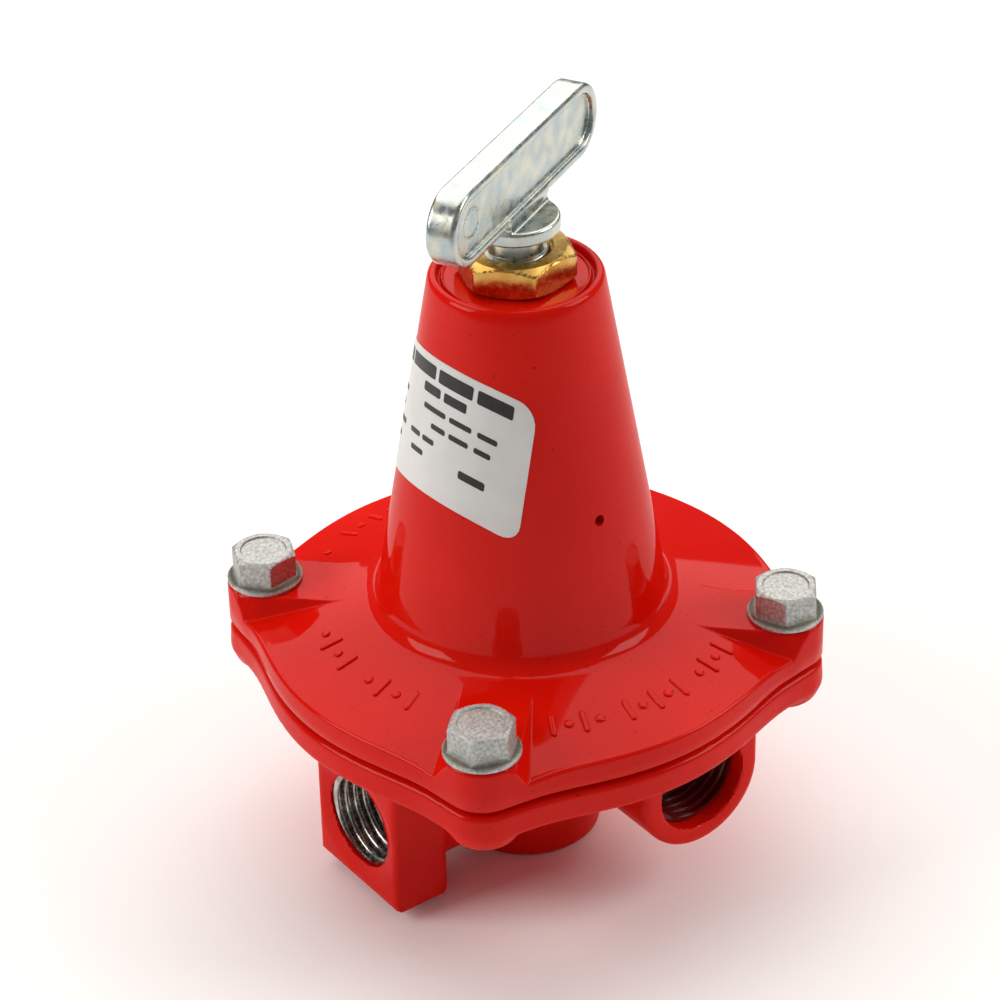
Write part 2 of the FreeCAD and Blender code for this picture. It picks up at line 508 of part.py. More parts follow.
def filter_ring():
    """Retaining ring that holds the strainer, in a counterbore just past the end of the thread."""
    face = -FILTER_FACE
    gap = block(face - 2, face + 1, -0.8, 0.8, INLET_Z + 2, INLET_Z + 7)
    washer = along_x(RING_POCKET_R - FIT, face - 0.6, face, 0, INLET_Z)
    return washer.cut(along_x(3.8, face - 2, face + 1, 0, INLET_Z)).cut(gap)


PIECES = (bonnet, lower_body, cover_bolts, rating_label, lock_nut, adjusting_screw, stop_ring, wing_handle,
          thrust_ball, spring_seat, main_spring, diaphragm, centre_post, post_seal, lower_plate, upper_plate,
          lock_washer, post_nut, valve_seat, seat_gasket, poppet, poppet_pad, pad_screw, poppet_guide,
          poppet_spring, inlet_filter, filter_ring)

os.makedirs("parts", exist_ok=True)
for piece in PIECES:
    shape = piece()
    shape.exportStep(f"parts/{piece.__name__}.step")
    print(f"{piece.__name__:16s} solids {len(shape.Solids)}  valid {shape.isValid()}  {shape.Volume:9.1f} mm3")
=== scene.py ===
# %% [markdown]
# # An adjustable gas regulator
# The regulator is two red die castings bolted together round a rubber diaphragm, with a brass lock nut
# and a plated wing handle on top. The engineering model is loaded first and stays fixed. Every casting,
# screw head and thread that the eye reaches is then built around it in the same coordinates.

# %% Load the frame
import json
import math

import bpy
import numpy as np
from mathutils import Matrix, Vector


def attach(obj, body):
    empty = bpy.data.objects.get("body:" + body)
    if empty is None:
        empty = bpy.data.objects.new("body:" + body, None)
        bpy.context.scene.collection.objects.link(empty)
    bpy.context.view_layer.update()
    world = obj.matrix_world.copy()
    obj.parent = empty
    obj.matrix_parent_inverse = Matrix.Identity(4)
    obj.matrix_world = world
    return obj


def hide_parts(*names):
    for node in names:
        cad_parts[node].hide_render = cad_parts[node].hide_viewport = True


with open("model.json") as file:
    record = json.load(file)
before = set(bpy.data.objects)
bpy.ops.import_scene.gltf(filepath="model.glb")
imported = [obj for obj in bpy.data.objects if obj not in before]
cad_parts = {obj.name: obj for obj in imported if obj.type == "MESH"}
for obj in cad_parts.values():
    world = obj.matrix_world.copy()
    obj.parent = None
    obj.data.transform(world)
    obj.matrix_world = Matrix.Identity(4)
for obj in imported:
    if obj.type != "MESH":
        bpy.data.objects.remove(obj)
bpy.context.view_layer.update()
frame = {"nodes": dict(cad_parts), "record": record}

# %% [markdown]
# All lengths below are millimetres, as on a maker's drawing. Meshes are scaled to metres when they are
# made. A grid of points joined into quads is enough for every turned or wrapped shape, so one function
# makes it.

# %% Mesh helpers
MM = 0.001    # one millimetre in metres


def piece_from(name, points, faces, material=None, crease=40.0):
    """A mesh object from points in millimetres, smooth except across edges past the crease angle."""
    mesh = bpy.data.meshes.new(name)
    mesh.from_pydata((np.asarray(points) * MM).tolist(), [], [list(map(int, f)) for f in faces])
    mesh.validate()
    return finished(name, mesh, material, crease)


def finished(name, mesh, material=None, crease=40.0):
    """Links a mesh to the scene under a name, with its material and shading."""
    mesh.shade_smooth()
    mesh.set_sharp_from_angle(angle=math.radians(crease))
    if material:
        mesh.materials.clear()
        mesh.materials.append(material)
    made = bpy.data.objects.new(name, mesh)
    bpy.context.collection.objects.link(made)
    mesh.calc_loop_triangles()
    print(f"{name}: {len(mesh.loop_triangles)} triangles")
    return made


# %% [markdown]
# Points stored row by row are joined into quads by their numbers alone. A turning is such a grid wound
# round an axis, with its first and last rows shut at the middle so that no hole is left.

# %% Grids and turnings
def quads(rows, columns, close_rows=False, close_columns=False):
    """Quads of a grid of points stored row by row."""
    r = np.arange(rows if close_rows else rows - 1)
    c = np.arange(columns if close_columns else columns - 1)
    r, c = (a.ravel() for a in np.meshgrid(r, c, indexing="ij"))
    r1, c1 = (r + 1) % rows, (c + 1) % columns
    return np.stack([r * columns + c, r * columns + c1, r1 * columns + c1, r1 * columns + c], 1)


def spun(radii, heights, angles):
    """Closed surface from rows of (radius, height) at each angle, with both ends shut at the axis."""
    rows, columns = radii.shape
    ring = np.stack([radii * np.cos(angles), radii * np.sin(angles), heights], -1).reshape(-1, 3)
    faces = quads(rows, columns, close_columns=True).tolist()
    ends = [[0, 0, heights[0].mean()], [0, 0, heights[-1].mean()]]
    low, high, last = len(ring), len(ring) + 1, (rows - 1) * columns
    for c in range(columns):
        after = (c + 1) % columns
        faces.append([low, after, c])
        faces.append([high, last + c, last + after])
    return np.vstack([ring, ends]), faces


# %% [markdown]
# Castings have no sharp corners: every boss runs into its flange through a fillet. A distance field gives
# that for free. It is a function that says how far a point is outside the shape, and it is below zero
# inside. The smaller of two distances joins two shapes, and blending them rounds the corner between.

# %% Distance fields
def blend(a, b, k):
    """Smooth union of two distances, with a fillet of about k."""
    h = np.clip(0.5 + 0.5 * (b - a) / k, 0, 1)
    return b + (a - b) * h - k * h * (1 - h)


def carve(a, b, k):
    """The first distance with the second cut out of it, with the edge eased by about k."""
    return -blend(-a, b, k)


def prism(across, along, half, edge):
    """Extrusion: a distance in its section and a distance from its middle, with rounded edges."""
    a, b = across + edge, np.abs(along) - half + edge
    return np.minimum(np.maximum(a, b), 0) + np.hypot(np.maximum(a, 0), np.maximum(b, 0)) - edge


# %% [markdown]
# A field has no mesh yet. The space is cut into small cubes, and every cube that the surface crosses gets
# one vertex, placed at the mean of the crossings on its edges. A few steps along the field's slope then
# move each vertex on to the surface exactly. Wherever an edge of the cubes is crossed, the four cubes
# round it share one quad.

# %% A skin for a field
SLOPE_PROBE = 0.02    # half the distance over which the slope is measured


def skin_of(field, low, high, step):
    """Points and quads of the surface where the field is zero."""
    axes = [np.arange(a, b + step, step) for a, b in zip(low, high)]
    shape = tuple(len(a) for a in axes)
    value = np.empty(shape, np.float32)
    for i, x in enumerate(axes[0]):
        value[i] = field(*np.meshgrid([x], axes[1], axes[2], indexing="ij"))[0]
    inside = value < 0
    corners = [(i, j, k) for i in (0, 1) for j in (0, 1) for k in (0, 1)]
    view = lambda a, c: a[tuple(slice(o, n - 1 + o) for o, n in zip(c, shape))]
    count = sum(view(inside, c).astype(np.int8) for c in corners)
    cells = np.argwhere((count > 0) & (count < 8))
    index = np.full(tuple(n - 1 for n in shape), -1, np.int64)
    index[tuple(cells.T)] = np.arange(len(cells))
    total, hits = np.zeros((len(cells), 3)), np.zeros(len(cells))
    for c in corners:
        for axis in range(3):
            if c[axis]:
                continue
            other = tuple(o + (n == axis) for n, o in enumerate(c))
            a = value[tuple((cells + c).T)]
            b = value[tuple((cells + other).T)]
            cut = (a < 0) != (b < 0)
            share = np.where(cut, a / np.where(a == b, 1, a - b), 0)
            offset = np.tile(np.array(c, float), (len(cells), 1))
            offset[:, axis] += share
            total[cut] += offset[cut]
            hits[cut] += 1
    points = np.array(low) + (cells + total / hits[:, None]) * step
    for _ in range(4):
        d = field(*points.T)
        slope = np.stack([(field(*(points + e).T) - field(*(points - e).T)) / (2 * SLOPE_PROBE)
                          for e in np.eye(3) * SLOPE_PROBE], 1)
        move = d[:, None] * slope / np.maximum((slope ** 2).sum(1), 0.05)[:, None]
        points = points - np.clip(move, -0.4 * step, 0.4 * step)
    faces = []
    for axis in range(3):
        b, c = (axis + 1) % 3, (axis + 2) % 3
        near = np.take(inside, range(shape[axis] - 1), axis)
        far = np.take(inside, range(1, shape[axis]), axis)
        at = np.argwhere(near != far)
        at = at[(at[:, b] > 0) & (at[:, c] > 0) & (at[:, b] < shape[b] - 1) & (at[:, c] < shape[c] - 1)]
        loop = []
        for back_b, back_c in ((1, 1), (0, 1), (0, 0), (1, 0)):
            cell = at.copy()
            cell[:, b] -= back_b
            cell[:, c] -= back_c
            loop.append(index[tuple(cell.T)])
        loop = np.stack(loop, 1)
        flip = far[tuple(at.T)]
        loop[flip] = loop[flip][:, ::-1]
        faces.append(loop)
    return points, np.vstack(faces)


# %% [markdown]
# A material is a small tree of nodes. One function adds a node with its settings and links, one turns a
# colour from its usual hex form to Blender's linear numbers, and one gives the texture scale for a size
# in millimetres.

# %% Node helpers
def linear(colour):
    """Linear RGBA from an sRGB hex colour."""
    parts = [int(colour[i:i + 2], 16) / 255 for i in (1, 3, 5)]
    return [p / 12.92 if p <= 0.04045 else ((p + 0.055) / 1.055) ** 2.4 for p in parts] + [1.0]


def per_mm(size):
    """Texture scale that gives features of this size in millimetres."""
    return 1000.0 / size


def node(tree, kind, inputs=None, **settings):
    """Adds a node, applies its settings, and sets or links its inputs."""
    made = tree.nodes.new(kind)
    for key, value in settings.items():
        setattr(made, key, value)
    for key, value in (inputs or {}).items():
        if isinstance(value, bpy.types.NodeSocket):
            tree.links.new(value, made.inputs[key])
        else:
            made.inputs[key].default_value = value
    return made


def new_material(name, **fixed):
    """A material with its shader's fixed sockets set, its tree, shader and Object coordinates."""
    material = bpy.data.materials.new(name)
    material.use_nodes = True
    tree = material.node_tree
    shader = tree.nodes["Principled BSDF"]
    for key, value in fixed.items():
        shader.inputs[key.replace("_", " ")].default_value = value
    where = node(tree, "ShaderNodeTexCoord").outputs["Object"]
    return material, tree, shader, where


# %% [markdown]
# **Stoved enamel** on a zinc die casting is sprayed and baked, so it is a deep colour under a glossy skin
# with a faint orange peel of about 2 mm, and dust leaves fine pits. The skin is the shader's coat, and
# the shader under it has no gloss of its own. The peel and the pits are bump, because both are far
# shallower than any mesh. Real pits are a tenth of a millimetre wide. They are drawn from a pattern of
# 0.5 mm, so that a few can be seen.

# %% Red enamel
def red_enamel(name, dark, light):
    """Baked enamel: a deep colour that drifts a little, with pits, under a clear glossy skin."""
    material, tree, shader, where = new_material(
        name, Roughness=0.5, Specular_IOR_Level=0.0, Coat_Weight=0.38, Coat_Roughness=0.05, Coat_IOR=1.45)
    cloud = node(tree, "ShaderNodeTexNoise", {"Vector": where, "Scale": per_mm(22)})
    tone = node(tree, "ShaderNodeValToRGB", {"Fac": cloud.outputs["Fac"]})
    for stop, place, colour in zip(tone.color_ramp.elements, (0.3, 0.7), (dark, light)):
        stop.position, stop.color = place, linear(colour)
    dust = node(tree, "ShaderNodeTexNoise", {"Vector": where, "Scale": per_mm(0.5)})
    pits = node(tree, "ShaderNodeMapRange", {"Value": dust.outputs["Fac"], "From Min": 0.70,
                                             "From Max": 0.75})
    mix = node(tree, "ShaderNodeMix", {0: pits.outputs[0], 6: tone.outputs["Color"], 7: linear("#8a0a04")},
               data_type="RGBA")
    tree.links.new(mix.outputs[2], shader.inputs["Base Color"])
    swell = node(tree, "ShaderNodeTexNoise", {"Vector": where, "Scale": per_mm(2.2)})
    peel = node(tree, "ShaderNodeBump", {"Height": swell.outputs["Fac"], "Strength": 0.25,
                                         "Distance": 0.06 * MM})
    pocked = node(tree, "ShaderNodeBump", {"Height": pits.outputs[0], "Strength": 0.3, "Distance": 0.02 * MM,
                                           "Normal": peel.outputs[0]}, invert=True)
    tree.links.new(pocked.outputs[0], shader.inputs["Normal"])
    return material


# Stoved enamel, sprayed and baked: deep red with sharp highlights.
ENAMEL = red_enamel("stoved_red_enamel", "#cd0a02", "#dc1605")
# Enamel in the outlet bore, darkened to a brown red as painted shade for the deep bore.
BORE_ENAMEL_WITH_PAINTED_SHADE = red_enamel("bore_enamel_with_painted_shade", "#4c0502", "#640803")
print("enamels:", ENAMEL.name, BORE_ENAMEL_WITH_PAINTED_SHADE.name)

# %% [markdown]
# ** The metals** share one build: a metal shader whose colour and roughness drift with noise, and a bump
# for the way each was made. A cast or dipped metal has a grain. A turned one has rings about the axis it
# was turned on. One finish can darken around a given height, as painted shade in a crevice.

# %% Metals
RING_TO_SCALE = 2 * math.pi / 20    # the wave texture repeats every 2 pi / 20 of its scaled length


def metal(name, dark, light, patch, dull, shiny, grain, depth, rings=None, crevice=None):
    """A metal with patches, a grain or rings in millimetres, and painted shade round the crevice's height."""
    material, tree, shader, where = new_material(name, Metallic=1.0)
    drift = node(tree, "ShaderNodeTexNoise", {"Vector": where, "Scale": per_mm(patch), "Detail": 3.0})
    tone = node(tree, "ShaderNodeValToRGB", {"Fac": drift.outputs["Fac"]})
    for stop, place, shade in zip(tone.color_ramp.elements, (0.35, 0.65), (dark, light)):
        stop.position, stop.color = place, linear(shade)
    colour = tone.outputs["Color"]
    # Painted shade: the colour darkens to a dull brown grey in a narrow band round the crevice's height.
    if crevice:
        level = node(tree, "ShaderNodeSeparateXYZ", {0: where}).outputs["Z"]
        above = node(tree, "ShaderNodeMath", {0: level, 1: crevice * MM}, operation="SUBTRACT").outputs[0]
        away = node(tree, "ShaderNodeMath", {0: above}, operation="ABSOLUTE").outputs[0]
        crevice_painted_shade = node(tree, "ShaderNodeMapRange", {"Value": away, "From Min": 0.05 * MM, "From Max": 0.34 * MM,
                                                  "To Min": 0.85, "To Max": 0.0}).outputs[0]
        colour = node(tree, "ShaderNodeMix", {0: crevice_painted_shade, 6: colour, 7: linear("#5d5745")},
                      data_type="RGBA").outputs[2]
    tree.links.new(colour, shader.inputs["Base Color"])
    wear = node(tree, "ShaderNodeTexNoise", {"Vector": where, "Scale": per_mm(patch / 2)})
    rough = node(tree, "ShaderNodeMapRange", {"Value": wear.outputs["Fac"], "From Min": 0.3, "From Max": 0.7,
                                              "To Min": shiny, "To Max": dull})
    tree.links.new(rough.outputs[0], shader.inputs["Roughness"])
    if rings:
        marks = node(tree, "ShaderNodeTexWave", {"Vector": where, "Scale": per_mm(rings) * RING_TO_SCALE,
                                                 "Distortion": 0.6}, wave_type="RINGS", rings_direction="Z")
    else:
        marks = node(tree, "ShaderNodeTexNoise", {"Vector": where, "Scale": per_mm(grain)})
    bump = node(tree, "ShaderNodeBump", {"Height": marks.outputs["Fac"], "Strength": 0.5,
                                         "Distance": depth * MM})
    tree.links.new(bump.outputs[0], shader.inputs["Normal"])
    return material


# Steel dipped in molten zinc: dull grey with frosty patches, and painted shade between head and washer.
GALVANISED = metal("hot_dip_zinc_on_steel", "#a3a4a1", "#cbccc9", patch=0.4, dull=0.68, shiny=0.52, grain=0.3,
                   depth=0.04, crevice=35.35)
# Zinc plated over a casting and dipped in passivation: bright and bluish with a yellow cast, softly hammered.
ZINC = metal("bright_zinc_plate_on_casting", "#a8b5b8", "#cbcbbe", patch=2.0, dull=0.38, shiny=0.20,
             grain=1.2, depth=0.06)
# Brass turned from bar: golden, with rings. Real feed marks are 0.1 mm apart, too fine to show, so these are
# drawn 2.2 mm apart.
BRASS = metal("turned_brass", "#b88c40", "#dcb468", patch=1.5, dull=0.30, shiny=0.17, grain=0.5, depth=0.012,
              rings=2.2)
# Die-cast zinc cut by a tap after painting: bare, light and shiny, with faint tool chatter.
CUT_THREAD = metal("bare_cut_die_cast_zinc", "#a5a39c", "#dcdcd8", patch=1.2, dull=0.32, shiny=0.16,
                   grain=0.4, depth=0.02)
# Bright steel turned from bar: cool grey, with rings drawn coarse in the same way.
STEEL = metal("turned_bright_steel", "#8d8f91", "#b4b6b8", patch=2.5, dull=0.35, shiny=0.20, grain=0.5,
              depth=0.01, rings=1.885)
# Wire drawn through a die, wound and oiled: dark grey and sleek.
SPRING = metal("oiled_spring_wire", "#55575a", "#7d8084", patch=2.0, dull=0.42, shiny=0.26, grain=0.4,
               depth=0.01)
# Aluminium pressed from sheet: pale and even, with the faint grain of the rolls.
ALUMINIUM = metal("pressed_aluminium_sheet", "#b6b8ba", "#d2d3d5", patch=5.0, dull=0.42, shiny=0.30,
                  grain=0.6, depth=0.01)
# Fine steel wire woven to a mesh: mid grey and rough, with a grain the size of its openings.
STRAINER = metal("woven_strainer_wire", "#77797a", "#a6a8a9", patch=0.6, dull=0.5, shiny=0.35, grain=0.3,
                 depth=0.05)

# %% [markdown]
# **Rubber, film and ink** are not metals. Each has one colour that drifts a little, because dust, wear
# and printing are never quite even, and a fine grain that softens its highlights.

# %% Rubber, film and ink
def soft_stuff(name, dark, light, size, roughness, depth):
    """Rubber, film or paint: one colour that drifts a little, with a fine grain."""
    material, tree, shader, where = new_material(name, Roughness=roughness)
    cloud = node(tree, "ShaderNodeTexNoise", {"Vector": where, "Scale": per_mm(size)})
    tone = node(tree, "ShaderNodeValToRGB", {"Fac": cloud.outputs["Fac"]})
    for stop, place, colour in zip(tone.color_ramp.elements, (0.3, 0.7), (dark, light)):
        stop.position, stop.color = place, linear(colour)
    tree.links.new(tone.outputs["Color"], shader.inputs["Base Color"])
    grain = node(tree, "ShaderNodeTexNoise", {"Vector": where, "Scale": per_mm(size / 3)})
    bump = node(tree, "ShaderNodeBump", {"Height": grain.outputs["Fac"], "Strength": 0.4,
                                         "Distance": depth * MM})
    tree.links.new(bump.outputs[0], shader.inputs["Normal"])
    return material


# Nitrile rubber moulded over cloth: near black and matt, faintly pebbled.
RUBBER = soft_stuff("moulded_nitrile_rubber", "#101010", "#1c1b1a", 1.2, 0.65, 0.03)
# Polyester film, cast and coated: a satin off-white.
FILM = soft_stuff("satin_label_film", "#d3d3d1", "#dededc", 6.0, 0.38, 0.004)
# Ink printed on the film: near black and a little duller than the film.
INK = soft_stuff("black_label_ink", "#141414", "#222222", 1.0, 0.45, 0.003)
print("finishes:", len(bpy.data.materials), "materials")

# %% [markdown]
# Pieces inside the casing are not seen, so they keep their engineering shape. Each still gets the finish
# of the real part, looked up by its material slot, so that the inside is right if the casing is ever
# opened.

# %% Finishes for the engineering pieces
BY_SLOT = {"red_enamel": ENAMEL, "galvanised_steel": GALVANISED, "zinc_plate": ZINC, "brass": BRASS,
           "bright_steel": STEEL, "spring_steel": SPRING, "aluminium": ALUMINIUM, "nitrile_rubber": RUBBER,
           "label_film": FILM, "strainer_mesh": STRAINER}
slot_of = {s["node"]: s["material_slot"] for s in frame["record"]["subparts"]}
for name, shown in frame["nodes"].items():
    for place in shown.material_slots:
        place.material = BY_SLOT[slot_of[name]]
print("finishes given to", len(slot_of), "engineering pieces")

# %% [markdown]
# Both castings share one outline: a disc with four ears. Each ear is a round nose on the bolt axis with
# straight flanks running back to the disc. In each ear's own directions, u points outwards and v
# sideways.

# %% The flange outline
FLANGE_R, BOLT_R, EAR_R = 33.2, 33.3, 4.85
BOLTS = np.radians([45, 135, 225, 315])
FLANK = math.radians(36.8)    # angle of each ear's straight flank to the ear's own direction
EAR_ROOT = 29.9               # radius inside which an ear adds nothing to the disc


def outline(x, y):
    """Distance outside the eared flange's edge, seen from above."""
    edge = np.hypot(x, y) - FLANGE_R
    for bolt in BOLTS:
        u = x * np.cos(bolt) + y * np.sin(bolt)
        v = np.abs(y * np.cos(bolt) - x * np.sin(bolt))
        du = u - BOLT_R
        round_nose = np.cos(FLANK) * v < np.sin(FLANK) * du
        ear = np.where(round_nose, np.hypot(du, v), np.cos(FLANK) * du + np.sin(FLANK) * v) - EAR_R
        edge = blend(edge, np.maximum(ear, EAR_ROOT - u), 2.0)
    return edge


def reach(angles, inset):
    """Radius at which the outline, moved in by the inset, is met along each angle."""
    low, high = np.full(angles.shape, 24.0), np.full(angles.shape, 42.0)
    for _ in range(40):
        middle = (low + high) / 2
        within = outline(middle * np.cos(angles), middle * np.sin(angles)) + inset < 0
        low, high = np.where(within, middle, low), np.where(within, high, middle)
    return low


# %% [markdown]
# **The bonnet** is a turned shape with an eared foot, so its skin is one grid: rows run from the screw
# hole over the rim, down the cone, across the sloping flange, round the edge and back up inside. Columns
# are close together at the ears, where the outline bends most. The raised bolt pads come from the larger
# of two heights, smoothly joined.

# %% Bonnet
SEAT_Z, EDGE_Z, BONNET_BOTTOM = 34.6, 31.95, 28.75
CONE_FOOT_R, CONE_FOOT_Z, CONE_TOP_R, CONE_TOP_Z = 18.2, 37.4, 10.7, 81.15
CONE_SLOPE = (CONE_FOOT_R - CONE_TOP_R) / (CONE_TOP_Z - CONE_FOOT_Z)
FLANGE_SLOPE = 0.2803    # rise of the flange's upper face for each millimetre towards the cone
FOOT_FILLET_R = 20.0     # radius at which the fillet under the cone ends
WALL = 2.3


def cone_radius(z):
    """Radius of the cone's outside at a height."""
    return CONE_FOOT_R - (z - CONE_FOOT_Z) * CONE_SLOPE


def slope_height(r):
    """Height of the flange's sloping upper face at a radius, between the pads."""
    return EDGE_Z + FLANGE_SLOPE * (FLANGE_R - r)


def top_height(x, y):
    """Height of the flange's upper face, with the four bolt pads."""
    height = slope_height(np.hypot(x, y))
    for bolt in BOLTS:
        u = x * np.cos(bolt) + y * np.sin(bolt)
        v = y * np.cos(bolt) - x * np.sin(bolt)
        off = np.hypot(u - np.clip(u, 22.4, BOLT_R), v) - 4.6
        pad = SEAT_Z - 2.4 * np.maximum(off + 0.2, 0)
        height = -blend(-height, -pad, 0.55)
    return height


def curve(start, bend, end, count):
    """Points along a curve that leaves the start towards the bend and arrives at the end from it."""
    t = np.linspace(0, 1, count)[:, None]
    return (1 - t) ** 2 * np.array(start) + 2 * t * (1 - t) * np.array(bend) + t ** 2 * np.array(end)


print("the cone leans", round(math.degrees(math.atan(CONE_SLOPE)), 1), "degrees from upright")

# %% [markdown]
# The rows are listed in the order in which a finger would trace them from the screw hole outwards. At the
# top of the cone a small ridge and a groove stand round the nut's seat, left by the die. Inside, the wall
# is 2.3 mm thick.

# %% Bonnet rows
near = [b + np.radians(np.linspace(-20, 20, 150, endpoint=False)) for b in BOLTS]
far = [b + np.radians(np.linspace(20, 70, 34, endpoint=False)) for b in BOLTS]
around = np.sort(np.concatenate(near + far) % (2 * math.pi))

turned_part = np.vstack([
    [(4.05, 74.1), (4.05, 80.7), (4.25, 80.9), (8.7, 80.9)],
    curve((8.72, 80.95), (8.9, 81.35), (9.08, 80.95), 6),
    curve((9.12, 80.7), (9.3, 80.45), (9.45, 80.75), 5),
    curve((9.5, 81.1), (9.6, 81.6), (9.95, 81.6), 6),
    curve((10.05, 81.6), (10.55, 81.55), (10.75, 80.85), 8),
    [(cone_radius(z), z) for z in np.linspace(79.8, 38.6, 16)],
    curve((cone_radius(38.3), 38.3), (18.3, 36.25), (FOOT_FILLET_R, slope_height(FOOT_FILLET_R)), 12)])
EDGE = 0.55    # radius of the flange's rounded upper edge
inner_reach, outer_reach = reach(around, EDGE), reach(around, 0.0)
rows_r = [np.full(around.shape, r) for r, _ in turned_part]
rows_z = [np.full(around.shape, z) for _, z in turned_part]
for share in np.linspace(0, 1, 28)[1:]:
    r = FOOT_FILLET_R + (inner_reach - FOOT_FILLET_R) * share
    rows_r.append(r)
    rows_z.append(top_height(r * np.cos(around), r * np.sin(around)))
shoulder = rows_z[-1]
for turn in np.radians([20, 40, 60, 80, 90]):
    rows_r.append(inner_reach + (outer_reach - inner_reach) * math.sin(turn))
    rows_z.append(shoulder - EDGE * (1 - math.cos(turn)))
rows_r += [outer_reach, outer_reach, reach(around, 0.3)]
rows_z += [(shoulder - EDGE) * 0.5 + BONNET_BOTTOM * 0.5, np.full(around.shape, BONNET_BOTTOM + 0.3),
           np.full(around.shape, BONNET_BOTTOM)]
for r, z in ((24.15, BONNET_BOTTOM), (24.15, 31.8), (17.7, 33.65),
             (cone_radius(CONE_FOOT_Z) - WALL, CONE_FOOT_Z), (cone_radius(74.1) - WALL, 74.1)):
    rows_r.append(np.full(around.shape, r))
    rows_z.append(np.full(around.shape, z))
radius, height = np.array(rows_r), np.array(rows_z)
skin = np.stack([radius * np.cos(around), radius * np.sin(around), height], -1).reshape(-1, 3)
bonnet_faces = quads(*radius.shape, close_rows=True, close_columns=True)[:, ::-1]
bonnet = piece_from("bonnet_casting", skin, bonnet_faces, ENAMEL, crease=50)

# %% [markdown]
# **The breather hole** lets air in and out above the diaphragm, and is drilled after casting. A dark spot
# painted on the cone would look flat from the side, so a drill-shaped piece is cut from the bonnet with a
# Boolean modifier.

# %% Breather hole
BREATHER_R, BREATHER_Z, BREATHER_TURN = 0.7, 53.45, math.radians(-88)
turn = np.linspace(0, 2 * math.pi, 32, endpoint=False)
drill_points, drill_faces = spun(np.full((2, 32), BREATHER_R), np.repeat([[0.0], [12.0]], 32, 1), turn)
drill = piece_from("drill", drill_points, drill_faces)
drill.data.transform(Matrix.Translation((0, 0, BREATHER_Z * MM)) @ Matrix.Rotation(BREATHER_TURN, 4, "Z")
                     @ Matrix.Translation((9 * MM, 0, 0)) @ Matrix.Rotation(math.pi / 2, 4, "Y"))
cut = bonnet.modifiers.new("breather", "BOOLEAN")
cut.operation, cut.object, cut.solver = "DIFFERENCE", drill, "EXACT"
drilled = bpy.data.meshes.new_from_object(bonnet.evaluated_get(bpy.context.evaluated_depsgraph_get()))
bonnet.modifiers.clear()
bonnet.data = drilled
drilled.materials.clear()
drilled.materials.append(ENAMEL)
drilled.set_sharp_from_angle(angle=math.radians(50))
bpy.data.objects.remove(drill)
print("bonnet after drilling:", len(drilled.polygons), "faces")
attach(bonnet, "casing")
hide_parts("bonnet")

# %% [markdown]
# **The lower body** is not a turned shape: a square inlet block, a round outlet boss with straight
# cheeks, four bolt bosses and a central boss all grow from one flange. Its distance field adds them one
# by one and then carves the bores.

# %% Lower body
PORT_FACE, INLET_Z = 26.85, 10.9
OUTLET_X, OUTLET_Z = 7.8, 17.0


def body_outside(x, y, z):
    """Everything that the mould fills: flange, bowl, central boss, bolt bosses, inlet block, outlet boss."""
    from_axis = np.hypot(x, y)
    shape = prism(outline(x, y), z - 26.075, 1.925, 0.75)
    shape = blend(shape, prism(from_axis - 25.15, z - 23.35, 3.65, 1.5), 1.2)
    shape = blend(shape, prism(from_axis - 9.65, z - 12.0, 12.0, 0.7), 1.2)
    for bolt in BOLTS:
        off = np.hypot(x - BOLT_R * np.cos(bolt), y - BOLT_R * np.sin(bolt))
        shape = blend(shape, prism(off - 4.55, z - 24.65, 2.35, 1.7), 0.9)
    box = np.maximum(np.abs(y) - 8.75, np.abs(z - 13.75) - 12.25)
    shape = blend(shape, prism(box, x + 22.8, 4.05, 0.85), 1.0)
    neck = np.hypot(y, z - INLET_Z) - 8.15
    shape = blend(shape, prism(neck, x + 10.0, 10.0, 0.5), 1.2)
    across = np.abs(x - OUTLET_X)
    cheeks = np.where(z < OUTLET_Z, np.hypot(across, z - OUTLET_Z), across) - 9.0
    return blend(shape, prism(np.maximum(cheeks, z - 26), y + 16.925, 9.925, 0.8), 1.2)


def body_field(x, y, z):
    """The outside with the chamber, the valve's bores and both ports taken out."""
    shape, from_axis = body_outside(x, y, z), np.hypot(x, y)
    shape = carve(shape, prism(from_axis - 23.1, z - 25.75, 4.0, 0.4), 0.3)
    shape = carve(shape, prism(from_axis - 6.1, z - 9.0, 6.3, 0.3), 0.2)
    shape = carve(shape, prism(from_axis - 7.15, z - 18.5, 4.2, 0.3), 0.2)
    along, off = x + PORT_FACE, np.hypot(y, z - INLET_Z)
    dish = np.maximum(0.27 * (off - 8.15) + 0.96 * along, along - 0.62)
    shape = carve(shape, np.maximum(dish, off - 8.15), 0.25)
    widening = off - 6.2 - np.clip(0.6 * (along - 0.6), 0, 0.5)
    shape = carve(shape, np.maximum(widening, along - 9.05), 0.15)
    for r, depth in ((5.3, 9.85), (4.4, 14.95), (3.05, 26.85)):
        shape = carve(shape, np.maximum(off - r, along - depth), 0.2)
    along, off = y + PORT_FACE, np.hypot(x - OUTLET_X, z - OUTLET_Z)
    for r, depth in ((6.5, 10.85), (3.9, 17.05)):
        shape = carve(shape, np.maximum(off - r, along - depth), 0.2)
    window = np.hypot(x - OUTLET_X, y + 12.7) - 2.7
    return carve(shape, prism(window, z - 19.5, 2.6, 0.2), 0.2)


body_points, body_faces = skin_of(body_field, (-38.8, -38.8, -0.9), (38.8, 38.8, 29.0), 0.42)
body = piece_from("body_casting", body_points, body_faces, ENAMEL, crease=60)
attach(body, "casing")
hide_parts("lower_body")

# %% [markdown]
# **Threads** follow a rule: the radius rises and falls once for each pitch, and the pattern shifts by one
# pitch in each turn. Geometry Nodes can state exactly that. A flat grid is rolled into a tube, and its
# radius comes from the distance along the tube plus the share of a turn.

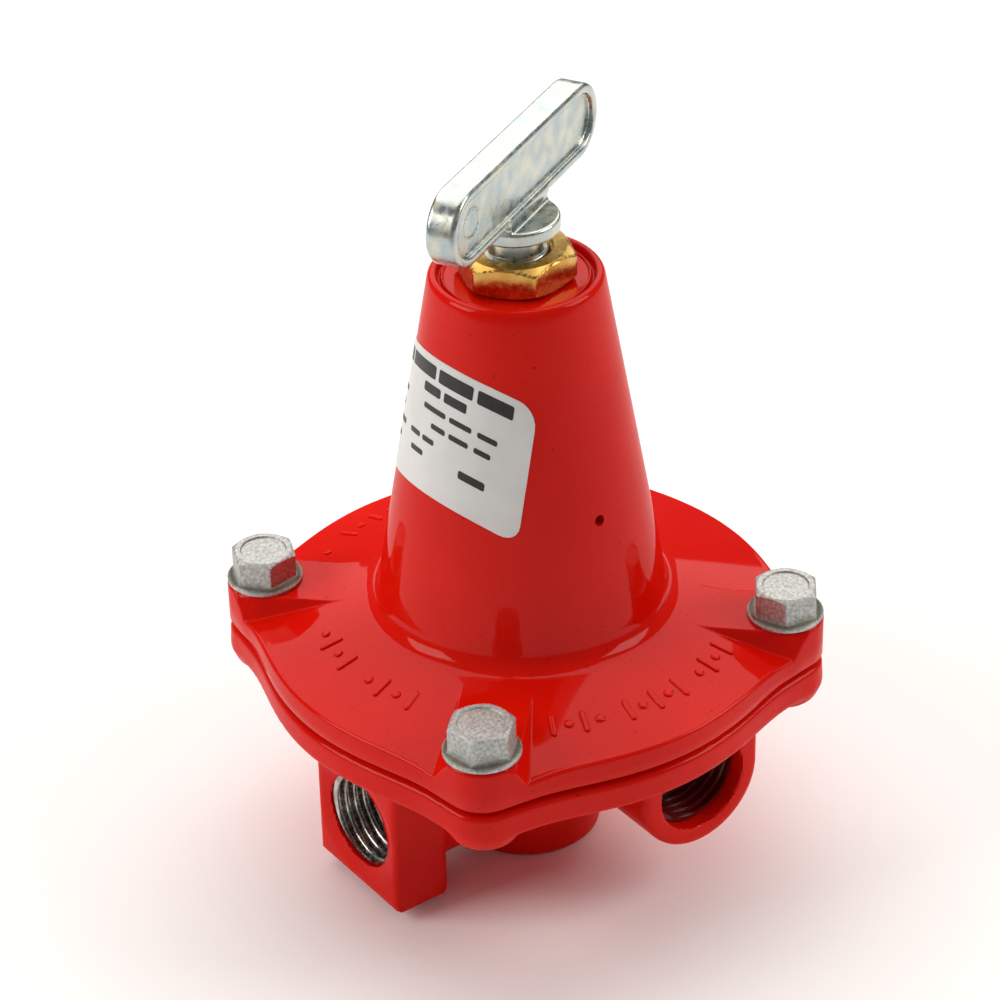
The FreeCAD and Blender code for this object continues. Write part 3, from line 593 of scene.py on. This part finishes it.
# %% The thread tree
def thread_tree():
    """A tube whose radius runs from crest to root and back once a pitch, with flats at both."""
    tree = bpy.data.node_groups.new("helical_thread", "GeometryNodeTree")
    for name, kind in (("Length", "Float"), ("Pitch", "Float"), ("Crest", "Float"), ("Depth", "Float"),
                       ("Rows", "Int"), ("Material", "Material")):
        tree.interface.new_socket(name, in_out="INPUT", socket_type=f"NodeSocket{kind}")
    tree.interface.new_socket("Mesh", in_out="OUTPUT", socket_type="NodeSocketGeometry")
    given = node(tree, "NodeGroupInput").outputs
    grid = node(tree, "GeometryNodeMeshGrid", {"Size X": 1.0, "Size Y": 1.0, "Vertices X": given["Rows"],
                                               "Vertices Y": 97})
    position = node(tree, "GeometryNodeInputPosition")
    place = node(tree, "ShaderNodeSeparateXYZ", {0: position.outputs[0]}).outputs
    share = node(tree, "ShaderNodeMath", {0: place[0], 1: 0.5}, operation="ADD").outputs[0]
    along = node(tree, "ShaderNodeMath", {0: share, 1: given["Length"]}, operation="MULTIPLY").outputs[0]
    passed = node(tree, "ShaderNodeMath", {0: along, 1: given["Pitch"]}, operation="DIVIDE").outputs[0]
    turns = node(tree, "ShaderNodeMath", {0: passed, 1: place[1]}, operation="SUBTRACT").outputs[0]
    wave = node(tree, "ShaderNodeMath", {0: turns, 1: 0.5}, operation="PINGPONG").outputs[0]
    flank = node(tree, "ShaderNodeMapRange", {"Value": wave, "From Min": 0.07, "From Max": 0.43}).outputs[0]
    radius = node(tree, "ShaderNodeMath", {0: flank, 1: given["Depth"], 2: given["Crest"]},
                  operation="MULTIPLY_ADD").outputs[0]
    angle = node(tree, "ShaderNodeMath", {0: place[1], 1: 2 * math.pi}, operation="MULTIPLY").outputs[0]
    cosine = node(tree, "ShaderNodeMath", {0: angle}, operation="COSINE").outputs[0]
    sine = node(tree, "ShaderNodeMath", {0: angle}, operation="SINE").outputs[0]
    x = node(tree, "ShaderNodeMath", {0: radius, 1: cosine}, operation="MULTIPLY").outputs[0]
    y = node(tree, "ShaderNodeMath", {0: radius, 1: sine}, operation="MULTIPLY").outputs[0]
    spot = node(tree, "ShaderNodeCombineXYZ", {0: x, 1: y, 2: along})
    rolled = node(tree, "GeometryNodeSetPosition", {"Geometry": grid.outputs[0], "Position": spot.outputs[0]})
    joined = node(tree, "GeometryNodeMergeByDistance",
                  {"Geometry": rolled.outputs[0], "Distance": 0.001 * MM})
    real = node(tree, "GeometryNodeRealizeInstances", {"Geometry": joined.outputs[0]})
    dressed = node(tree, "GeometryNodeSetMaterial",
                   {"Geometry": real.outputs[0], "Material": given["Material"]})
    node(tree, "NodeGroupOutput", {"Mesh": dressed.outputs[0]})
    return tree


# %% [markdown]
# A tree works as a modifier on a carrier object. Its inputs are found by name but set by identifier. The
# result is taken off as a plain mesh and the carrier is thrown away, so nothing live is left in the file.

# %% Growing a mesh from a tree
def grown(name, tree, inputs, start=None):
    """Evaluates a node tree to a plain mesh, with its named inputs set before the first evaluation."""
    carrier = bpy.data.objects.new(name, start or bpy.data.meshes.new(name))
    bpy.context.collection.objects.link(carrier)
    modifier = carrier.modifiers.new(name, "NODES")
    modifier.node_group = tree
    for item in tree.interface.items_tree:
        if item.in_out == "INPUT" and item.name in inputs:
            modifier[item.identifier] = inputs[item.name]
    mesh = bpy.data.meshes.new_from_object(carrier.evaluated_get(bpy.context.evaluated_depsgraph_get()))
    bpy.data.objects.remove(carrier)
    return mesh


THREAD = thread_tree()
ROWS_A_PITCH = 14


def thread(name, length, pitch, crest, depth, place, material):
    """A thread in place: the depth is measured outwards from the crest, so it is negative on a screw."""
    rows = int(length / pitch * ROWS_A_PITCH) + 1
    mesh = grown(name, THREAD, {"Length": length * MM, "Pitch": pitch * MM, "Crest": crest * MM,
                                "Depth": depth * MM, "Rows": rows, "Material": material})
    mesh.transform(place)
    return finished(name, mesh, crease=75)


# %% [markdown]
# Both ports have a G1/4 thread: crests at 5.72 mm radius, 1.337 mm apart. The inlet was tapped after
# painting and is bare metal. The outlet's thread starts behind a counterbore and is enamelled, darkened to
# a dark red as painted shade for the deep bore. Nothing shows behind an internal thread, so one rolled
# surface is enough.

# %% Port threads
G14_PITCH, G14_CREST = 1.337, 5.72
for name, length, depth, place, finish, slot in (
        ("inlet_thread", 8.2, 0.86, Matrix.Translation((-26.0 * MM, 0, INLET_Z * MM))
         @ Matrix.Rotation(math.pi / 2, 4, "Y"), CUT_THREAD, "zinc_plate"),
        # the outlet's thread takes the enamel darkened as painted shade for the deep bore
        ("outlet_thread", 9.1, 0.72, Matrix.Translation((OUTLET_X * MM, -25.15 * MM, OUTLET_Z * MM))
         @ Matrix.Rotation(-math.pi / 2, 4, "X"), BORE_ENAMEL_WITH_PAINTED_SHADE, "red_enamel")):
    made = thread(name, length, G14_PITCH, G14_CREST, depth, place, finish)
    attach(made, "casing")

# %% [markdown]
# **Hexagons** are turned shapes whose radius depends on the angle. The turned chamfer at 30 degrees is
# simply the smaller of the hexagon's radius and a cone's, which gives the curved edges that a real nut
# has.

# %% Hexagon rule
def hexagon_radius(angles, across_flats, turn=0.0):
    """Radius of a hexagon at each angle, with the sharp corners just rubbed off."""
    off = (angles - turn + math.pi / 6) % (math.pi / 3) - math.pi / 6
    straight = across_flats / 2 / np.cos(math.pi / 6 - np.abs(off))
    return np.minimum(straight, across_flats / math.sqrt(3) - 0.06)


def hex_rows(angles, across_flats, low, high, turn=0.0, chamfer_low=True):
    """Rows of a hexagon from low to high, chamfered where it meets the cone of each face."""
    flat, lean = 0.475 * across_flats, 1.732    # the chamfer is at 30 degrees to the face
    heights = np.concatenate([np.linspace(low, low + 0.9, 8), np.linspace(high - 0.9, high, 8)])
    radii = []
    for z in heights:
        limit = flat + (high - z) * lean
        if chamfer_low:
            limit = min(limit, flat + (z - low) * lean)
        radii.append(np.minimum(hexagon_radius(angles, across_flats, turn), limit))
    return radii, list(heights)


def closed_turning(name, radii, heights, angles, material, crease):
    """A solid turning from a radius, or a ring of radii, at each height."""
    rows = np.array([np.broadcast_to(r, angles.shape) for r in radii])
    tall = np.repeat(np.array(heights, float)[:, None], len(angles), 1)
    points, faces = spun(rows, tall, angles)
    return piece_from(name, points, faces, material, crease)


# %% [markdown]
# **The lock nut** is thin brass, turned from bar: flat faces with fine rings, a chamfer on each side and
# a lead-in at the thread.

# %% Lock nut
steps = np.linspace(0, 2 * math.pi, 216, endpoint=False)
NUT_LOW, NUT_HIGH, NUT_TURN, NUT_FLATS = 80.9, 84.95, math.radians(11.4), 13.0
side_r, side_z = hex_rows(steps, NUT_FLATS, NUT_LOW, NUT_HIGH, NUT_TURN)
nut_r = [4.05, 4.05, 6.17] + side_r + [6.17, 5.2, 4.6, 4.05]
nut_z = [NUT_LOW + 1, NUT_LOW, NUT_LOW] + side_z + [NUT_HIGH, NUT_HIGH, NUT_HIGH, NUT_HIGH - 0.5]
rows = np.array([np.broadcast_to(r, steps.shape) for r in nut_r])
tall = np.repeat(np.array(nut_z)[:, None], len(steps), 1)
nut_points = np.stack([rows * np.cos(steps), rows * np.sin(steps), tall], -1).reshape(-1, 3)
nut_faces = quads(*rows.shape, close_rows=True, close_columns=True)
nut = piece_from("brass_lock_nut", nut_points, nut_faces, BRASS, 25)
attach(nut, "lock_nut_body")
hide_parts("lock_nut")

# %% [markdown]
# **The cover screws** are four of the same, so one is modelled and Geometry Nodes sets it out on the four
# bolt axes. Each head has stopped at its own angle. The head is cold-formed: a washer and hexagon in one,
# with a dished top.

# %% Cover screw
ring = np.linspace(0, 2 * math.pi, 144, endpoint=False)
HEAD_TOP, HEAD_FLATS = SEAT_Z + 4.3, 7.5
side_r, side_z = hex_rows(ring, HEAD_FLATS, SEAT_Z + 1.0, HEAD_TOP, chamfer_low=False)
shank_and_washer = [(2.2, 24.6), (2.45, 24.9), (2.45, SEAT_Z), (4.6, SEAT_Z), (4.8, SEAT_Z + 0.12),
                    (4.8, SEAT_Z + 0.42), (4.62, SEAT_Z + 0.58), (side_r[0] + 0.22, SEAT_Z + 0.86)]
dished_top = [(3.3, HEAD_TOP), (2.95, HEAD_TOP), (2.82, HEAD_TOP - 0.2), (2.5, HEAD_TOP - 0.13),
              (1.2, HEAD_TOP - 0.2)]
screw_r = [r for r, _ in shank_and_washer] + side_r + [r for r, _ in dished_top]
screw_z = [z for _, z in shank_and_washer] + side_z + [z for _, z in dished_top]
master = closed_turning("screw_master", screw_r, screw_z, ring, GALVANISED, 28)


# %% [markdown]
# The tree below puts a copy of one piece on every point it is given, turned by the angles stored on that
# point. It is used for the screws and again for the raised marks.

# %% The setting-out tree
def set_out_tree():
    """Copies of one piece on the points, made real and given their finish."""
    tree = bpy.data.node_groups.new("set_out", "GeometryNodeTree")
    for name, kind in (("Points", "Geometry"), ("Piece", "Object"), ("Material", "Material")):
        tree.interface.new_socket(name, in_out="INPUT", socket_type=f"NodeSocket{kind}")
    tree.interface.new_socket("Mesh", in_out="OUTPUT", socket_type="NodeSocketGeometry")
    given = node(tree, "NodeGroupInput").outputs
    piece = node(tree, "GeometryNodeObjectInfo", {"Object": given["Piece"]})
    turn = node(tree, "GeometryNodeInputNamedAttribute", {"Name": "turn"}, data_type="FLOAT_VECTOR")
    size = node(tree, "GeometryNodeInputNamedAttribute", {"Name": "size"}, data_type="FLOAT_VECTOR")
    copies = node(tree, "GeometryNodeInstanceOnPoints", {
        "Points": given["Points"], "Instance": piece.outputs["Geometry"], "Rotation": turn.outputs[0],
        "Scale": size.outputs[0]})
    real = node(tree, "GeometryNodeRealizeInstances", {"Geometry": copies.outputs[0]})
    dressed = node(tree, "GeometryNodeSetMaterial",
                   {"Geometry": real.outputs[0], "Material": given["Material"]})
    node(tree, "NodeGroupOutput", {"Mesh": dressed.outputs[0]})
    return tree


SET_OUT = set_out_tree()


def set_out(name, piece, places, turns, sizes, material, crease):
    """Copies of a piece at each place, turned and sized, as one plain mesh."""
    spots = bpy.data.meshes.new(name)
    spots.from_pydata((np.array(places) * MM).tolist(), [], [])
    for label, values in (("turn", turns), ("size", sizes)):
        stored = spots.attributes.new(label, "FLOAT_VECTOR", "POINT")
        stored.data.foreach_set("vector", np.array(values, float).ravel())
    mesh = grown(name, SET_OUT, {"Piece": piece, "Material": material}, spots)
    bpy.data.objects.remove(piece)
    return finished(name, mesh, crease=crease)


# %% [markdown]
# The screws were driven by hand, so no two hexagons line up. The four turns are given and not left to
# chance, which keeps every copy of the regulator the same.

# %% Setting out the cover screws
head_turns = np.radians([22.0, 8.0, 40.5, 51.0])    # each head stopped where it was tight
screws = set_out("cover_screws", master, [(BOLT_R * math.cos(b), BOLT_R * math.sin(b), 0) for b in BOLTS],
                 [(0, 0, t) for t in head_turns], [(1, 1, 1)] * 4, GALVANISED, 28)
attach(screws, "casing")
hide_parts("cover_bolts")

# %% [markdown]
# **Raised marks** are cast into the flange in three arcs. They are plain bars and dots here, a quarter of
# a millimetre high with soft edges, as a die leaves them. Each lies on the sloping face, so it is tilted
# by the slope's angle and turned to its place on the arc.

# %% Raised marks
def rounded_bar(x, y, z):
    """A bar 3.3 mm long that stands 0.26 mm out of the face."""
    return prism(np.hypot(np.maximum(np.abs(x) - 1.3, 0), y) - 0.36, z, 0.26, 0.2)


def rounded_dot(x, y, z):
    """A dot 1.2 mm across, as tall as a bar."""
    return prism(np.hypot(x, y) - 0.62, z, 0.26, 0.24)


tilt = math.atan(FLANGE_SLOPE)
# Each arc: first angle and gap in degrees, how many places, radius, and size of the marks.
ARCS = [(-119.0, 4.15, 15, 27.1, 1.0), (160.0, 5.2, 9, 25.7, 0.95), (92.0, 5.2, 6, 28.0, 0.85)]
spots = [(first + gap * i, r, size) for first, gap, count, r, size in ARCS
         for i in range(count) if i % 6 != 4]    # one place in six is left bare
for name, shape, mine in (("raised_bars", rounded_bar, spots[0::2]),
                          ("raised_dots", rounded_dot, spots[1::2])):
    points, faces = skin_of(shape, (-2.0, -1.6, -0.6), (2.0, 1.6, 0.6), 0.13)
    master = piece_from(name + "_master", points, faces, ENAMEL, 80)
    places = [(r * math.cos(math.radians(a)), r * math.sin(math.radians(a)), slope_height(r))
              for a, r, _ in mine]
    raised = set_out(name, master, places, [(0, tilt, math.radians(a)) for a, _, _ in mine],
                     [(size, size, size) for _, _, size in mine], ENAMEL, 80)
    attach(raised, "casing")

# %% [markdown]
# **The adjusting screw** is an M8 screw pressed into the handle. It shows its plain neck and the first
# turn of its thread above the nut, and more of the thread as it is wound out. The core is a plain
# turning, and the same thread tree as for the ports gives a sleeve over it.

# %% Adjusting screw
M8_PITCH, M8_CREST, M8_DEPTH = 1.25, 3.95, 0.7
core = closed_turning("screw_core", [2.9, 3.3, 3.3, 3.15, 3.15], [66.6, 67.0, 85.0, 85.3, 87.5], steps,
                      ZINC, 40)
sleeve = thread("screw_thread", 17.6, M8_PITCH, M8_CREST, -M8_DEPTH,
                Matrix.Translation((0, 0, 67.3 * MM)), ZINC)
for made in (core, sleeve):
    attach(made, "screw")
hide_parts("adjusting_screw")


# %% [markdown]
# **The wing handle** is a zinc die casting: a long plate with round ends, a raised rim on both faces and
# a short neck to a round collar. Its edges are all rounded by the mould, so it is a field too. The
# mould's ejector leaves a round mark near one end.

# %% Wing handle
HANDLE_TURN, WING_Z = math.radians(27.45), 94.8


def handle_field(x, y, z):
    """Plate with a recess in both faces, ejector mark, neck and collar."""
    a = x * math.cos(HANDLE_TURN) + y * math.sin(HANDLE_TURN)
    b = y * math.cos(HANDLE_TURN) - x * math.sin(HANDLE_TURN)
    along = np.maximum(np.abs(a) - 14.625, 0)
    stadium = np.hypot(along, z - WING_Z) - 4.825
    shape = prism(stadium, b, 1.925, 0.55)
    recess = stadium + 1.3
    for side in (-1, 1):
        shape = carve(shape, np.maximum(recess, 1.225 - side * b), 0.45)
    mark = np.hypot(a + 13.6, z - WING_Z) - 1.8
    shape = carve(shape, np.maximum(np.abs(mark) - 0.12, np.abs(b + 1.225) - 0.12), 0.08)
    neck = prism(np.maximum(np.abs(a) - 5.0, np.abs(b) - 1.9), z - 89.6, 1.2, 0.3)
    shape = blend(shape, neck, 0.6)
    collar = prism(np.hypot(x, y) - 5.45, z - 88.25, 0.95, 0.4)
    return blend(shape, collar, 0.5)


handle_points, handle_faces = skin_of(handle_field, (-19.5, -12.5, 86.6), (19.5, 12.5, 100.4), 0.2)
handle = piece_from("wing_handle_casting", handle_points, handle_faces, ZINC, 70)
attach(handle, "screw")
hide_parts("wing_handle")

# %% [markdown]
# **The sticker** is a film cut as a curved strip and wrapped half-way round the cone, so its edges droop
# to the sides. A point on it is named by its distance from the middle and its share of the height. The
# print is plain bars of ink laid through the same rule.

# %% Sticker
HALF_WIDTH, CONE_R_BEHIND = 14.2, 13.7    # the second is the cone's mean radius behind the film
TOP_Z, TOP_DROOP = 73.712, 0.0012104      # height in the middle, and fall with the angle in degrees squared
BOTTOM_Z, BOTTOM_DROOP = 56.304, 0.001088


def on_sticker(across, up, lift):
    """Place on the cone of a point at a distance across, a share up, and a lift off the surface."""
    turned_by = np.degrees(across / CONE_R_BEHIND)
    top = TOP_Z - TOP_DROOP * turned_by ** 2
    bottom = BOTTOM_Z - BOTTOM_DROOP * turned_by ** 2
    z = bottom + (top - bottom) * up
    angle = across / cone_radius(z)
    r = cone_radius(z) + lift
    return np.stack([-r * np.cos(angle), -r * np.sin(angle), z], -1)


# %% [markdown]
# Film and ink are both thin slabs with rounded corners. Rows are closer together near the top and bottom,
# where the corners bend, and each row is pulled in by what the corner takes off.

# %% A patch of film or ink
ROWS, COLUMNS = 25, 41
FILM_TALL = 17.4


def patch(left, right, low, high, lift, corner):
    """Grid over a rounded rectangle of the sticker: its rows grow narrower towards the corners."""
    steps_up = np.sin(np.linspace(-math.pi / 2, math.pi / 2, ROWS))    # closer together near the corners
    across, up = np.meshgrid(np.linspace(-1, 1, COLUMNS), steps_up)
    wide, tall = (right - left) / 2, (high - low) / 2 * FILM_TALL
    inset_x = np.maximum(np.abs(up) * tall - (tall - corner), 0)
    shrink = corner - np.sqrt(np.maximum(corner ** 2 - inset_x ** 2, 0))
    spread = across * (wide - shrink)
    height = (low + high) / 2 + up * (high - low) / 2
    return on_sticker((left + right) / 2 + spread, height, lift).reshape(-1, 3)


def slab(left, right, low, high, under, over, corner):
    """Top, back and edge of a patch."""
    top, back = patch(left, right, low, high, over, corner), patch(left, right, low, high, under, corner)
    grid, count = quads(ROWS, COLUMNS), len(top)
    index = np.arange(count).reshape(ROWS, COLUMNS)
    rim = [*index[0], *index[1:, -1], *index[-1, -2::-1], *index[-2:0:-1, 0]]
    sides = [[rim[i], rim[i - 1], rim[i - 1] + count, rim[i] + count] for i in range(len(rim))]
    return np.vstack([top, back]), grid.tolist() + (grid[:, ::-1] + count).tolist() + sides


# %% [markdown]
# The film is a tenth of a millimetre thick, and the ink stands 0.025 mm above it. Both are real slabs, so
# the print neither slides nor flickers when the view moves.

# %% Film and print
label_points, label_faces = slab(-HALF_WIDTH, HALF_WIDTH, 0, 1, 0.01, 0.1, 2.4)
sticker = piece_from("sticker_film", label_points, label_faces, FILM, 50)
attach(sticker, "casing")
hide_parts("rating_label")

# Each bar of print: left and right in millimetres from the middle, low and high as shares of the height.
words = [(-11.6, -6.4, .845, .945), (-5.8, 0.4, .845, .945), (1.0, 6.2, .845, .945), (6.8, 11.4, .845, .945),
         (-1.6, 1.6, .73, .80), (2.2, 5.6, .73, .80), (-11.0, -7.0, .61, .65), (-1.2, 2.8, .61, .65),
         (3.4, 6.6, .61, .65), (7.4, 10.0, .61, .65), (-11.0, -8.2, .49, .53), (0.6, 3.0, .49, .53),
         (3.6, 6.4, .49, .53), (7.2, 9.4, .49, .53), (-10.6, -6.0, .37, .41), (-3.8, -1.4, .37, .41),
         (-0.8, 1.4, .37, .41), (-10.6, -8.0, .25, .29), (-3.2, -0.4, .25, .29), (5.6, 9.2, .25, .31)]
ink_points, ink_faces = [], []
for left, right, low, high in words:
    points, faces = slab(left, right, low, high, 0.09, 0.125, 0.25)
    start = sum(len(p) for p in ink_points)
    ink_points.append(points)
    ink_faces += [[i + start for i in f] for f in faces]
ink = piece_from("sticker_print", np.vstack(ink_points), ink_faces, INK, 50)
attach(ink, "casing")

# %% [markdown]
# The regulator stands on its central boss on a plain pale floor. Large soft lamps on both sides give
# enamel its long highlights. The world is nearly white, so shadows stay pale.

# %% Floor, lamps and world
FLOOR_HALF, FLOOR_Z = 2500, -0.02
corners = [(x * FLOOR_HALF, y * FLOOR_HALF, FLOOR_Z) for x, y in ((-1, -1), (1, -1), (1, 1), (-1, 1))]
# Matt painted board: pale, with a drift too wide to notice.
floor = piece_from("floor", corners, [[0, 1, 2, 3]],
                   soft_stuff("pale_studio_sweep", "#fafafa", "#ffffff", 400, 0.8, 0.0))


def lamp(name, azimuth, elevation, distance, size, power):
    """A square soft lamp that faces the middle of the regulator."""
    data = bpy.data.lights.new(name, "AREA")
    data.size, data.energy, data.color = size, power, linear("#fffbf6")[:3]
    made = bpy.data.objects.new(name, data)
    a, e = math.radians(azimuth), math.radians(elevation)
    made.location = Vector((math.sin(a) * math.cos(e), -math.cos(a) * math.cos(e), math.sin(e))) * distance
    made.rotation_euler = (-made.location).to_track_quat("-Z", "Y").to_euler()
    made.location += Vector((0, 0, 0.04))
    bpy.context.collection.objects.link(made)


lamp("left_softbox", -112, 30, 0.55, 0.30, 1.4)
lamp("right_softbox", 52, 34, 0.60, 0.30, 1.3)
lamp("top_back_softbox", 146, 54, 0.62, 0.85, 4.6)
world = bpy.data.worlds.new("studio")
world.use_nodes = True
world.node_tree.nodes["Background"].inputs["Color"].default_value = linear("#ffffff")
world.node_tree.nodes["Background"].inputs["Strength"].default_value = 0.20
bpy.context.scene.world = world
bpy.context.scene.view_settings.view_transform = "Standard"

# %% [markdown]
# A long lens from well back keeps the cone's sides almost straight. The camera looks down by a third of a
# right angle, with the inlet to the left and the outlet to the right. Its three directions are worked out
# from the turn, the tilt and a small roll, and its place from the distance, in millimetres from a point
# on the axis.

# %% Camera
AZIMUTH, ELEVATION, ROLL = math.radians(-35.65), 0.571016, -0.023839
DISTANCE, SHIFT_RIGHT, SHIFT_UP, AIM_Z = 452.68, -2.908, 14.188, 31.96
back = Vector((math.sin(AZIMUTH) * math.cos(ELEVATION), -math.cos(AZIMUTH) * math.cos(ELEVATION),
               math.sin(ELEVATION)))
level = Vector((math.cos(AZIMUTH), math.sin(AZIMUTH), 0))
upward = back.cross(level)
right = level * math.cos(ROLL) + upward * math.sin(ROLL)
top = upward * math.cos(ROLL) - level * math.sin(ROLL)
camera = bpy.data.objects.new("camera", bpy.data.cameras.new("camera"))
camera.data.lens, camera.data.sensor_width = 128.17, 36
camera.data.clip_start, camera.data.clip_end = 0.01, 20
spot = (back * DISTANCE + right * SHIFT_RIGHT + top * SHIFT_UP + Vector((0, 0, AIM_Z))) * MM
camera.matrix_world = Matrix.Translation(spot) @ Matrix((right, top, back)).transposed().to_4x4()
bpy.context.collection.objects.link(camera)
bpy.context.scene.camera = camera
